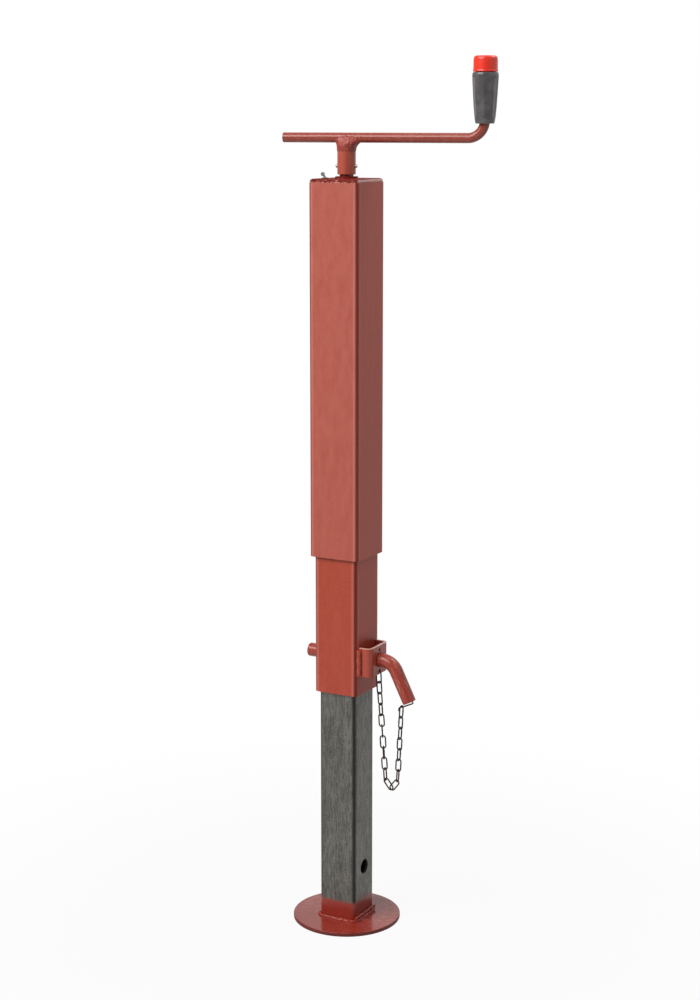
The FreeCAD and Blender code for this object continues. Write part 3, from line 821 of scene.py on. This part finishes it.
HEXAGON_TALL = 3 * MM
bpy.ops.object.select_all(action="DESELECT")
bpy.ops.mesh.primitive_cylinder_add(vertices=6, radius=4.6 * MM, depth=HEXAGON_TALL,
                                    location=(NIPPLE_OFF, NIPPLE_OFF, LID_TOP))
hexagon = bpy.context.object
break_edges(hexagon, 0.35 * MM)
fit(hexagon, "nipple_hexagon", "casing", zinc, "machined_steel", "grease_nipple")
stem = lathe([(0, 0), (1.7, 0), (1.5, 3.2), (1.6, 4.0), (2.8, 4.6), (2.9, 6.6), (2.5, 7.7),
              (1.3, 8.3), (0, 8.3)], 24)
STEM_LEAN = math.radians(35)
sideways = -math.sin(STEM_LEAN) / math.sqrt(2)
outwards = Vector((sideways, sideways, math.cos(STEM_LEAN)))
stem.matrix_world = (Matrix.Translation((NIPPLE_OFF, NIPPLE_OFF, LID_TOP + HEXAGON_TALL / 2))
                     @ Vector((0, 0, 1)).rotation_difference(outwards).to_matrix().to_4x4())
fit(stem, "nipple_head", "casing", zinc, "machined_steel")


# Crank. A 14 mm black bar bent up at one end and sawn off at the other, laid across a short
# tube and welded to it all round; the tube fits the spindle and is held by a spring pin.

CRANK_TURN = math.radians(11)
CRANK_START = -93 * MM
CRANK_BEND_AT = 174.5 * MM
CRANK_BEND = 23.5 * MM
rod = bent_rod(radius=7 * MM, start=CRANK_START, bend_at=CRANK_BEND_AT, height=1155 * MM,
               bend_radius=CRANK_BEND, turn=math.radians(-90), tail=50.8 * MM)
break_edges(rod, SAWN_EDGE, sharper_than=60)
rod.rotation_euler.z = CRANK_TURN
# The rod's paint is a darker copy of the tube's, a painted shade: both are the same paint.
crank_red = oxide_paint("oxide red paint on the crank", "#933827", "#9B4433", 0.22,
                        peel_depth=0.03 * MM)
# The sawn end lost its paint in chips of 3 mm and is dirty.
place = add(crank_red, "TexCoord", {})["Object"]
along = (math.cos(CRANK_TURN), math.sin(CRANK_TURN), 0)
reach = add(crank_red, "VectorMath", {0: place, 1: along}, operation="DOT_PRODUCT")["Value"]
chips = add(crank_red, "TexNoise", {"Vector": place, "Scale": 1 / (3 * MM),
                                    "Detail": 2.0})["Fac"]
uneven = add(crank_red, "Math", {0: chips, 1: 3 * MM, 2: reach},
             operation="MULTIPLY_ADD")["Value"]
sawn = add(crank_red, "MapRange", {"Value": uneven, "From Min": CRANK_START + 2.4 * MM,
                                   "From Max": CRANK_START + 3.2 * MM, "To Min": 0.85,
                                   "To Max": 0.0})["Result"]
dirty = add(crank_red, "Mix", {0: sawn, 6: laid(crank_red, "Base Color"),
                               7: colour("#4A3222")}, data_type="RGBA")[2]
dress(crank_red, {"Base Color": dirty})
fit(rod, "crank_rod_bar", "crank", crank_red, "crank_paint", "crank")

hub = lathe([(10, 1104.5), (12.6, 1104.5), (13, 1104.9), (13, 1149), (10, 1149),
             (10, 1104.5)], 72)
# The tube's paint is a lighter copy of the rod's, painted light: both are the same paint.
hub_red_lightened = oxide_paint("oxide red paint on the crank's tube, painted lighter", "#AE4A38", "#B55644", 0.30,
                      peel_depth=0.06 * MM)
fit(hub, "crank_hub_tube", "crank", hub_red_lightened, "crank_paint")

# The weld flares from the tube on to the rod, further on one side. Its sections are ovals,
# given in millimetres by their height, half length along the rod, half width across it and
# shift along the rod.
FLARE = ((1133, 11.5, 11.5, 0.0), (1135, 13.1, 13.1, 0.0), (1139, 13.4, 13.3, 0.1),
         (1143, 14.3, 13.6, 0.5), (1146, 15.9, 13.5, 1.4), (1148, 17.8, 13.0, 2.4),
         (1150, 20.0, 11.8, 3.0), (1152, 21.8, 10.4, 3.0), (1154.5, 22.6, 9.0, 2.8),
         (1157, 22.0, 7.4, 2.6), (1159, 19.0, 5.0, 2.4))
low, long, wide, shift = FLARE[0]
bpy.ops.object.select_all(action="DESELECT")
bpy.ops.mesh.primitive_circle_add(vertices=96, radius=1 * MM, fill_type="NGON",
                                  location=(0, 0, low * MM))
joint = bpy.context.object
joint.scale = (long, wide, 1)
settle(joint)
bpy.ops.object.mode_set(mode="EDIT")
bpy.ops.mesh.select_all(action="SELECT")
for (low, long, wide, shift), (high, longer, wider, further) in zip(FLARE, FLARE[1:]):
    bpy.ops.mesh.extrude_region_move(TRANSFORM_OT_translate={"value": (0, 0, (high - low) * MM)})
    bpy.ops.transform.resize(value=(longer / long, wider / wide, 1))
    bpy.ops.transform.translate(value=((further - shift) * MM, 0, 0))
bpy.ops.object.mode_set(mode="OBJECT")
seal(joint)
work_on(joint, "finer sections", "SUBSURF", levels=1, render_levels=1)
joint.rotation_euler.z = CRANK_TURN
settle(joint)
roughen(joint, 2.2 * MM, 1.1 * MM)
joint_red = weld_paint("oxide red paint over the crank's weld", "#953527", "#C8786A", 0.36)
fit(joint, "crank_joint_weld", "crank", joint_red, "crank_paint")

spring_pin = lathe([(0, -15.5), (1.9, -15.5), (2.5, -14.8), (2.5, 14.8), (1.9, 15.5),
                    (0, 15.5)], 32)
spring_pin.rotation_euler = (0, math.pi / 2, CRANK_TURN)
spring_pin.location = (0, 0, 1116 * MM)
fit(spring_pin, "hub_spring_pin", "crank", bright_steel, "machined_steel", "hub_pin")


# Grip. A black polypropylene sleeve that turns on the rod, moulded with eight shallow flutes
# and a fine grained skin, and closed by a glossy red cap pressed into its wide end.

GRIP_REACH = CRANK_BEND_AT + CRANK_BEND
GRIP_AXIS = Vector((math.cos(CRANK_TURN), math.sin(CRANK_TURN), 0)) * GRIP_REACH
# Dark grey with a silky sheen, paler where hands wear it. The grain of the mould is drawn
# 0.9 mm wide, coarser than the real one, to show.
grip_black = new_finish("grained black polypropylene")
place = add(grip_black, "TexCoord", {})["Object"]
grained = add(grip_black, "TexNoise", {"Vector": place, "Scale": 1 / (0.9 * MM),
                                       "Detail": 2.0})["Fac"]
handled = add(grip_black, "TexNoise", {"Vector": place, "Scale": 1 / (12 * MM),
                                       "Detail": 4.0})["Fac"]
worn = add(grip_black, "MapRange", {"Value": handled, "From Min": 0.4,
                                    "From Max": 0.65})["Result"]
black = add(grip_black, "Mix", {0: worn, 6: colour("#4E4B4C"), 7: colour("#625E5E")},
            data_type="RGBA")[2]
pores = add(grip_black, "Bump", {"Height": grained, "Strength": 0.2,
                                 "Distance": 0.06 * MM})["Normal"]
skin = add(grip_black, "MapRange", {"Value": handled, "To Min": 0.20, "To Max": 0.34})["Result"]
dress(grip_black, {"Base Color": black, "Roughness": skin, "Normal": pores})

sleeve = lathe([(8.1, 1174.5), (12.3, 1174.5), (13.1, 1175.1), (13.6, 1177.5), (14.1, 1181),
                (14.3, 1182.2), (14.5, 1184), (15.6, 1195), (16.9, 1216), (17.9, 1233.5),
                (18.0, 1235), (18.1, 1236.2), (18.2, 1238), (18.0, 1240.5), (17.3, 1242.4),
                (16.4, 1243), (14, 1243), (14, 1229), (7.3, 1229), (7.3, 1178.5),
                (8.1, 1178.5), (8.1, 1174.5)], 160)
# Eight hollows, 37 degrees wide and 1 mm deep, leave narrow ridges between them. They are
# shallower at both ends.
FLUTE_LOW = 1182 * MM
FLUTE_HIGH = 1235.5 * MM
FLUTE_DEPTH = 1 * MM
FLUTE_HALF = math.radians(18.5)
FLUTE_TURN = math.radians(-3.5)
EIGHTH = math.pi / 4
for point in sleeve.data.vertices:
    outside = math.hypot(point.co.x, point.co.y)
    angle = math.atan2(point.co.y, point.co.x)
    if outside > 14.2 * MM and FLUTE_LOW < point.co.z < FLUTE_HIGH:
        off_centre = (angle - FLUTE_TURN + EIGHTH / 2) % EIGHTH - EIGHTH / 2
        hollow = max(0.0, 1 - (off_centre / FLUTE_HALF) ** 2) * FLUTE_DEPTH
        inside = FLUTE_LOW + 1 * MM < point.co.z < FLUTE_HIGH - 1.5 * MM
        fade = 1.0 if inside else 0.4
        point.co.x *= 1 - fade * hollow / outside
        point.co.y *= 1 - fade * hollow / outside
sleeve.location = GRIP_AXIS
fit(sleeve, "grip_sleeve_moulding", "grip", grip_black, "grip_plastic", "grip_sleeve")

# Bright dyed plastic, a little uneven where it flowed in the mould.
cap_red = new_finish("glossy red polypropylene")
place = add(cap_red, "TexCoord", {})["Object"]
flow = add(cap_red, "TexNoise", {"Vector": place, "Scale": 1 / (10 * MM), "Detail": 2.0})["Fac"]
dyed = add(cap_red, "Mix", {0: flow, 6: colour("#EF3423"), 7: colour("#F4412F")},
           data_type="RGBA")[2]
rubbed = add(cap_red, "MapRange", {"Value": flow, "To Min": 0.2, "To Max": 0.34})["Result"]
dress(cap_red, {"Base Color": dyed, "Roughness": rubbed})
cap = lathe([(0, 1238), (13.9, 1238), (13.9, 1243.6), (16.6, 1243.6), (17.3, 1244.0),
             (17.4, 1245.0), (17.0, 1245.8), (16.8, 1246.6), (16.6, 1259.5), (16.2, 1262.0),
             (15.2, 1263.8), (14.0, 1264.6), (12.9, 1264.9), (11.6, 1264.4), (0, 1264.4)], 96)
cap.location = GRIP_AXIS
fit(cap, "grip_end_cap", "grip", cap_red, "cap_plastic", "grip_cap")


# Studio. A pale paper floor that runs out into a white surround that is dark on the camera's
# side. A large soft lamp stands high in front, a small one behind on the right, one overhead.

def looked_at(material, in_mirrors):
    """1 where the camera sees a thing straight or through glass, less where gloss mirrors it."""
    ray = add(material, "LightPath", {})
    mirrored = add(material, "Math", {0: ray["Is Glossy Ray"], 1: in_mirrors},
                   operation="MULTIPLY")["Value"]
    seen = add(material, "Math", {0: ray["Is Camera Ray"], 1: ray["Is Transmission Ray"]},
               operation="MAXIMUM")["Value"]
    return add(material, "Math", {0: seen, 1: mirrored}, operation="MAXIMUM")["Value"]


bpy.ops.object.select_all(action="DESELECT")
bpy.ops.mesh.primitive_plane_add(size=16, location=(0, 0, -0.2 * MM))
floor = bpy.context.object
floor.name = "studio_floor"
paper = new_finish("white studio paper")
dress(paper, {"Base Color": colour("#C0C0C0"), "Roughness": 0.9, "Specular IOR Level": 0.0})
place = add(paper, "TexCoord", {})["Object"]
away = add(paper, "VectorMath", {0: place}, operation="LENGTH")["Value"]
fade = add(paper, "MapRange", {"Value": away, "From Min": 0.2, "From Max": 1.0,
                               "To Min": 0.93, "To Max": 1.0},
           interpolation_type="SMOOTHSTEP")["Result"]
share = add(paper, "Math", {0: looked_at(paper, 0.85), 1: fade}, operation="MULTIPLY")["Value"]
glow = add(paper, "Emission", {"Color": (1, 1, 1, 1), "Strength": 1.0})["Emission"]
sheet = paper.node_tree.nodes["Principled BSDF"].outputs["BSDF"]
mixed = add(paper, "MixShader", {0: share, 1: sheet, 2: glow})["Shader"]
feed(paper, paper.node_tree.nodes["Material Output"], {"Surface": mixed})
floor.data.materials.append(paper)

# The surround is white where it is seen, and hardly lights the stand. In reflections it is
# white behind the stand on the right and dark on the camera's side.
surround = bpy.data.worlds.new("white surround")
bpy.context.scene.world = surround
surround.use_nodes = True
facing = add(surround, "TexCoord", {})["Generated"]
behind = add(surround, "VectorMath", {0: facing, 1: (0.500, 0.866, 0.0)},
             operation="DOT_PRODUCT")["Value"]
backdrop = add(surround, "MapRange", {"Value": behind, "From Min": -0.35, "From Max": 0.35,
                                      "To Min": 0.06, "To Max": 1.0})["Result"]
level = add(surround, "Math", {0: looked_at(surround, backdrop), 1: 0.12},
            operation="MAXIMUM")["Value"]
feed(surround, surround.node_tree.nodes["Background"], {"Color": (1, 1, 1, 1),
                                                        "Strength": level})


def softbox(name, place, target, width, height, power):
    """Soft rectangular lamp that faces a point and is itself out of sight."""
    light = bpy.data.lights.new(name, "AREA")
    light.shape = "RECTANGLE"
    light.size = width
    light.size_y = height
    light.energy = power
    holder = bpy.data.objects.new(name, light)
    holder.visible_camera = False
    bpy.context.scene.collection.objects.link(holder)
    holder.location = place
    holder.rotation_euler = (Vector(target) - Vector(place)).to_track_quat("-Z", "Y").to_euler()


softbox("left softbox", (-1.9, -4.0, 4.4), (0, 0, 0.7), width=4.6, height=3.4, power=375)
softbox("right softbox", (0.85, 0.75, 2.3), (0, 0, 1.0), width=0.8, height=0.8, power=11)
softbox("overhead softbox", (0.1, -0.5, 4.2), (0, 0, 0.6), width=1.6, height=1.0, power=16)

# The camera's focal length in pixels, place and pitch come from a fit to the tubes' edges.
FOCAL_LENGTH = 1928.01
FRAME_HEIGHT = 1000
SENSOR_HEIGHT = 36
PITCH = 0.198220
lens = bpy.data.cameras.new("camera")
lens.sensor_fit = "VERTICAL"
lens.sensor_height = SENSOR_HEIGHT
lens.lens = FOCAL_LENGTH / FRAME_HEIGHT * SENSOR_HEIGHT
camera = bpy.data.objects.new("camera", lens)
bpy.context.scene.collection.objects.link(camera)
camera.location = (1.3285, -2.3895, 1.18894)
look = Vector((-0.48439 * math.cos(PITCH), 0.87485 * math.cos(PITCH), -math.sin(PITCH)))
camera.rotation_euler = look.to_track_quat("-Z", "Y").to_euler()
bpy.context.scene.camera = camera
bpy.context.scene.view_settings.view_transform = "Standard"

bpy.context.view_layer.update()
